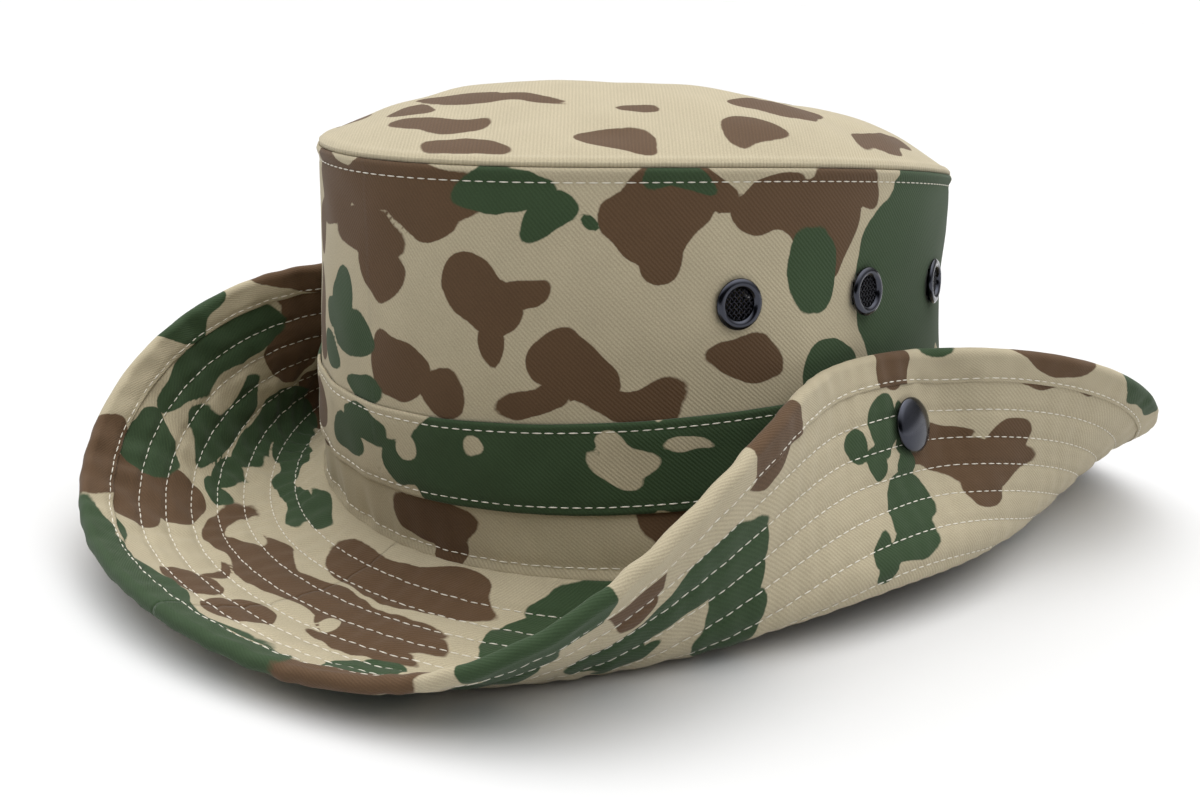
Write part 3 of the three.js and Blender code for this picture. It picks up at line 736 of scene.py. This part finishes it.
stitch_tree, start, end = node_tree("Stitches", {"Pitch": 0.003, "Length": 0.0024, "Radius": 0.0003})
line = add(stitch_tree, "GeometryNodeMeshToCurve", _0=start.outputs["Geometry"])
steps = add(stitch_tree, "GeometryNodeCurveToPoints", {"mode": "LENGTH"}, Curve=line.outputs[0],
            Length=start.outputs["Pitch"])
bead = add(stitch_tree, "GeometryNodeMeshUVSphere", Segments=6, Rings=4, Radius=1.0)
half_length = add(stitch_tree, "ShaderNodeMath", {"operation": "MULTIPLY"}, _0=start.outputs["Length"],
                  _1=0.5)
vary = add(stitch_tree, "FunctionNodeRandomValue", {"data_type": "FLOAT"}, _2=0.88, _3=1.08, Seed=3)
varied = add(stitch_tree, "ShaderNodeMath", {"operation": "MULTIPLY"}, _0=half_length.outputs[0],
             _1=vary.outputs[1])
size = add(stitch_tree, "ShaderNodeCombineXYZ", X=start.outputs["Radius"], Y=start.outputs["Radius"],
           Z=varied.outputs[0])
beads = add(stitch_tree, "GeometryNodeInstanceOnPoints", Points=steps.outputs["Points"],
            Instance=bead.outputs[0],
            Rotation=steps.outputs["Rotation"], Scale=size.outputs[0])
real = add(stitch_tree, "GeometryNodeRealizeInstances", Geometry=beads.outputs[0])
sleek = add(stitch_tree, "GeometryNodeSetShadeSmooth", _0=real.outputs[0])
painted = add(stitch_tree, "GeometryNodeSetMaterial", Geometry=sleek.outputs[0],
              Material=start.outputs["Material"])
stitch_tree.links.new(painted.outputs[0], end.inputs[0])

wire_tree, start, end = node_tree("Round wire", {"Radius": 0.0002})
line = add(wire_tree, "GeometryNodeMeshToCurve", _0=start.outputs["Geometry"])
circle = add(wire_tree, "GeometryNodeCurvePrimitiveCircle", Resolution=6, Radius=start.outputs["Radius"])
tube = add(wire_tree, "GeometryNodeCurveToMesh", Curve=line.outputs[0], Profile_Curve=circle.outputs[0],
           Fill_Caps=True)
real = add(wire_tree, "GeometryNodeRealizeInstances", Geometry=tube.outputs[0])
sleek = add(wire_tree, "GeometryNodeSetShadeSmooth", _0=real.outputs[0])
painted = add(wire_tree, "GeometryNodeSetMaterial", Geometry=sleek.outputs[0],
              Material=start.outputs["Material"])
wire_tree.links.new(painted.outputs[0], end.inputs[0])


def along_lines(name, lines, tree, material, **numbers):
    """A mesh made by a tree along lines, each an array of points in millimetres."""
    points = np.concatenate(lines)
    edges, first = [], 0
    for one in lines:
        edges += [(first + k, first + k + 1) for k in range(len(one) - 1)]
        first += len(one)
    draft = bpy.data.meshes.new(name + "_lines")
    draft.from_pydata(((points + TO_ROW) * MM).tolist(), edges, [])
    holder = bpy.data.objects.new(name, draft)
    bpy.context.scene.collection.objects.link(holder)
    modifier = holder.modifiers.new("tree", "NODES")
    modifier.node_group = tree
    for item in tree.interface.items_tree:
        if item.in_out == "INPUT" and item.name in numbers:
            modifier[item.identifier] = numbers[item.name] * MM
        if item.in_out == "INPUT" and item.name == "Material":
            modifier[item.identifier] = material
    bpy.context.view_layer.update()
    done = bpy.data.meshes.new_from_object(holder.evaluated_get(bpy.context.evaluated_depsgraph_get()))
    holder.modifiers.clear()
    holder.data = done
    return holder


# %% Rows of stitches
STITCH = dict(Pitch=3.0, Length=2.4, Radius=0.18)


def wall_row(height, offset, first=0.0, last=2 * np.pi):
    angle = np.linspace(first, last, 360)
    level = np.full(angle.shape, float(height))
    return wall(angle, level, wall_relief(angle, level) + offset)


crown_rows = [wall_row(94.2, 0.12), wall_row(3.4, 0.12), wall_row(BAND_LOW + 2, 1.05),
              wall_row(BAND_LOW + BAND_WIDE - 2, 1.05)]
for turn in (178.6, 181.4):
    for low, high in ((5, 16), (40, 93)):
        height = np.linspace(low, high, 40)
        angle = np.full(height.shape, np.radians(turn))
        crown_rows.append(wall(angle, height, wall_relief(angle, height) + 0.12))
crown_stitches = along_lines("crown_stitches", crown_rows, stitch_tree, thread, **STITCH)

inside_rows = []
for height in (3.0, 28.2):
    level = np.full(ring.shape, height)
    soft = 0.35 * ripple(wall(ring, level), 30, 42)
    row = wall(ring, level, soft - 3.6)
    inside_rows.append(np.concatenate([row, row[:1]]))
inside_stitches = along_lines("sweatband_stitches", inside_rows, stitch_tree, thread,
                              **{**STITCH, "Pitch": 3.2})

brim_stitches = []
for half in halves:
    angle = np.linspace(halves[half][0], halves[half][-1], 500)
    lines = []
    for along in ROWS:
        level = np.full(angle.shape, float(along))
        lines += brim_points(angle, level, 1.6, -1.6)
    level = np.full(angle.shape, BRIM - BINDING + 1.1)
    middle, normal = brim_middle(angle, level), brim_normal(angle, level)
    moved = puckers(angle, level, middle) * 0.8
    lines += [middle + normal * (offset + moved)[..., None] for offset in (1.75, -1.75)]
    brim_stitches.append(along_lines(f"{half}_brim_stitches", lines, stitch_tree, thread, **STITCH))
print("stitches:", len(crown_stitches.data.polygons), [len(s.data.polygons) for s in brim_stitches])

# %% [markdown]
# ## Vents and snaps
#
# Each vent is a lacquered ring with a disc of woven wire in it and a washer inside the hat.
# Each snap is a domed cap and a socket on the flap, and a stud and its post on the crown.

# %% Metal
FLANGE = [(4.0, -2.4), (4.6, -2.4), (4.6, 0.4), (6.2, 0.4), (6.45, 0.6), (6.5, 0.85), (6.35, 1.15),
          (5.9, 1.5), (5.3, 1.7), (4.8, 1.62), (4.3, 1.3), (4.0, 0.9)]
WASHER = [(4.9, -2.3), (6.4, -2.3), (6.5, -2.2), (6.5, -1.8), (6.4, -1.7), (4.9, -1.7)]
CAP = [(0, -2.5), (1.6, -2.5), (1.6, 2.0), (6.9, 2.0), (7.3, 2.2), (7.5, 2.6), (7.4, 3.0), (6.9, 3.45),
       (6.1, 3.75), (4.6, 4.1), (2.5, 4.38), (0, 4.48)]
SOCKET = [(2, -2.6), (3.8, -2.6), (3.8, -3.6), (4.3, -3.7), (5.2, -3.5), (5.5, -3.0), (5.6, -2.1), (2, -2.1)]
POST = [(0, -2.4), (4.8, -2.4), (5, -2.2), (5, -1.8), (4.8, -1.6), (1.6, -1.6), (1.6, 2), (0, 2)]
STUD = [(0, 2.3), (1.9, 2.3), (1.9, 1.75), (4.4, 1.75), (4.5, 1.95), (4.3, 2.2), (3.1, 2.3), (3.3, 2.8),
        (3.0, 3.25), (2.4, 3.4), (0, 3.4)]

weave = []
for k in np.arange(-3.5, 3.6, 1.0):
    reach = np.sqrt(4.05**2 - k * k)
    run = np.linspace(-reach, reach, 36)
    lift = 0.17 * np.cos(np.pi * (run + 0.5)) * (1 if int(k + 3.5) % 2 else -1)
    weave += [(run, np.full(run.shape, k), 0.4 + lift), (np.full(run.shape, k), run, 0.4 - lift)]
metal = []
for vent in vents:
    name, origin, axis = vent["name"], vent["origin"], vent["axis"]
    across = unit(np.cross(axis, [0.0, 0.0, 1.0]))
    other = np.cross(axis, across)
    across, other = (across + other) * np.sqrt(0.5), (other - across) * np.sqrt(0.5)
    lines = [origin + x[:, None] * across + y[:, None] * other + z[:, None] * axis for x, y, z in weave]
    metal.append((turned(name + "_ring", FLANGE, origin, axis, gunmetal, 64), "crown", f"{name}_flange",
                  "gunmetal"))
    metal.append((along_lines(name + "_mesh", lines, wire_tree, wire, Radius=0.18), "crown",
                  f"{name}_screen", "vent_screen"))
    metal.append((turned(name + "_back", WASHER, origin, axis, steel), "crown", f"{name}_washer",
                  "bright_steel"))
for snap in snaps:
    name = "left" if snap["side"] > 0 else "right"
    seat, foot, axis = snap["seat"], snap["foot"], snap["axis"]
    metal.append((turned(f"{name}_snap_dome", CAP, seat, axis, gunmetal, 64), f"{name}_flap",
                  f"{name}_snap_cap", "gunmetal"))
    metal.append((turned(f"{name}_snap_ring", SOCKET, seat, axis, steel), f"{name}_flap",
                  f"{name}_snap_socket", "bright_steel"))
    metal.append((turned(f"{name}_snap_rivet", POST, foot, axis, steel), "crown", f"{name}_snap_post",
                  "bright_steel"))
    metal.append((turned(f"{name}_snap_knob", STUD, foot, axis, steel), "crown", f"{name}_snap_stud",
                  "bright_steel"))
print(len(metal), "metal pieces")

# %% [markdown]
# ## Joining the looks to the frame
#
# Crown pieces ride on the crown, and each snap's cap and socket ride on its flap. The brim's pieces
# are baked where they lie, and the frame's brim and flap parts that they stand for are hidden.

# %% Bodies
for piece, body, node, slot in metal:
    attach(piece, body)
    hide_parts(node)
for piece, node, slot in ((side_panel, "crown_side_panel", "camo_twill"),
                          (top_panel, "crown_top_panel", "camo_twill"),
                          (band, "hatband", "camo_band"), (sweatband, "sweatband", "sweat_tape")):
    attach(piece, "crown")
    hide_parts(node)
for piece in (crown_stitches, inside_stitches):
    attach(piece, "crown")

FOLD_FROM, FOLD_TO = 0.112, 0.150
bending = brim_pieces + binding_pieces + brim_stitches
for piece in bending:
    side = 1 if piece.name.startswith("left") else -1
    start = (side * FOLD_FROM / 2, 0, FOLD_FROM / 2)
    end = (side * FOLD_TO / 2, 0, FOLD_TO / 2)
    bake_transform(piece)
for piece in brim_pieces:
    half, _, layer = piece.name.split("_")
    words = {"upper": "upper_cloth", "under": "lower_cloth", "lining": "interlining"}[layer]
    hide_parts(f"brim_{words}", f"{half}_flap_{words}")
for piece in binding_pieces:
    half = piece.name.split("_")[0]
    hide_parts(f"{half}_flap_binding", "brim_front_binding", "brim_back_binding")

print(len(bending), "bending pieces")

# %% [markdown]
# ## Floor, light and camera
#
# A white floor under a bright even sky, with one large soft lamp above for the shading on the crown.

# %% Stage
bpy.ops.mesh.primitive_plane_add(size=30)
floor = bpy.context.object
floor.name = "floor"
floor.data.materials.append(simple("floor_white", "#d8d8d8", Roughness=0.7, Specular_IOR_Level=0.2))
floor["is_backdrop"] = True

world = bpy.context.scene.world or bpy.data.worlds.new("sky")
bpy.context.scene.world = world
world.use_nodes = True
world.node_tree.nodes.clear()
tree = world.node_tree
way = add(tree, "ShaderNodeTexCoord").outputs["Generated"]
height = add(tree, "ShaderNodeSeparateXYZ", _0=way).outputs["Z"]
parts = [add(tree, "ShaderNodeMapRange", {"interpolation_type": "SMOOTHSTEP"}, Value=height, From_Min=0.25,
             From_Max=0.95, To_Min=0.1,
             To_Max=2.45).outputs[0]]
parts.append(add(tree, "ShaderNodeMapRange", {"interpolation_type": "SMOOTHSTEP"}, Value=height,
                 From_Min=0.04, From_Max=0.14, To_Min=1.0,
                 To_Max=0.0).outputs[0])
for lobe, strength in (((-0.72, -0.50, 0.45), 0.25), ((0.85, 0.30, 0.42), 0.35), ((0.62, -0.66, 0.42), -0.9)):
    facing = add(tree, "ShaderNodeVectorMath", {"operation": "DOT_PRODUCT"}, _0=way, _1=lobe).outputs["Value"]
    parts.append(add(tree, "ShaderNodeMapRange", {"interpolation_type": "SMOOTHSTEP"}, Value=facing,
                     From_Min=0.55, From_Max=0.95,
                     To_Min=0.0, To_Max=strength).outputs[0])
total = parts[0]
for part in parts[1:]:
    total = calc(tree, "ADD", total, part)
glow = calc(tree, "MAXIMUM", total, 0.02)
sky = add(tree, "ShaderNodeBackground", Color=(1, 1, 1, 1), Strength=glow)
add(tree, "ShaderNodeOutputWorld", _0=sky.outputs[0])


def area_light(name, place, size, power):
    lamp = bpy.data.lights.new(name, "AREA")
    lamp.shape, lamp.size, lamp.energy = "DISK", size, power
    holder = bpy.data.objects.new(name, lamp)
    holder.location = place
    holder.rotation_euler = (Vector((0, 0, 0.07)) - Vector(place)).to_track_quat("-Z", "Y").to_euler()
    bpy.context.scene.collection.objects.link(holder)
    holder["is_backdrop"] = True


area_light("top_softbox", (-0.1, 0.2, 1.2), 0.7, 2)

# %% Camera
AZIMUTH, ELEVATION, ROLL, DISTANCE = 43.05, 16.31, 2.69, 311.2
AIM = np.array([79.31, -103.46, 59.14])
turn, tilt, roll = np.radians([AZIMUTH, ELEVATION, ROLL])
back = np.array([np.sin(turn) * np.cos(tilt), -np.cos(turn) * np.cos(tilt), np.sin(tilt)])
right = np.array([np.cos(turn), np.sin(turn), 0])
up = np.cross(back, right)
right, up = right * np.cos(roll) + up * np.sin(roll), up * np.cos(roll) - right * np.sin(roll)
eye = (AIM + TO_ROW + back * DISTANCE) * MM
camera = bpy.data.objects.new("camera", bpy.data.cameras.new("camera"))
bpy.context.scene.collection.objects.link(camera)
camera.matrix_world = Matrix([[*row, place] for row,
                              place in zip(np.stack([right, up, back], 1), eye)] + [[0, 0, 0, 1]])
camera.data.sensor_width = 36
camera.data.lens = 42.84
camera.data.clip_start = 0.01
bpy.context.scene.camera = camera
bpy.context.scene.view_settings.view_transform = "Standard"

# %% Finish
low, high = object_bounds()
print("visual size", [round(float(h - l), 4) for l, h in zip(low, high)])
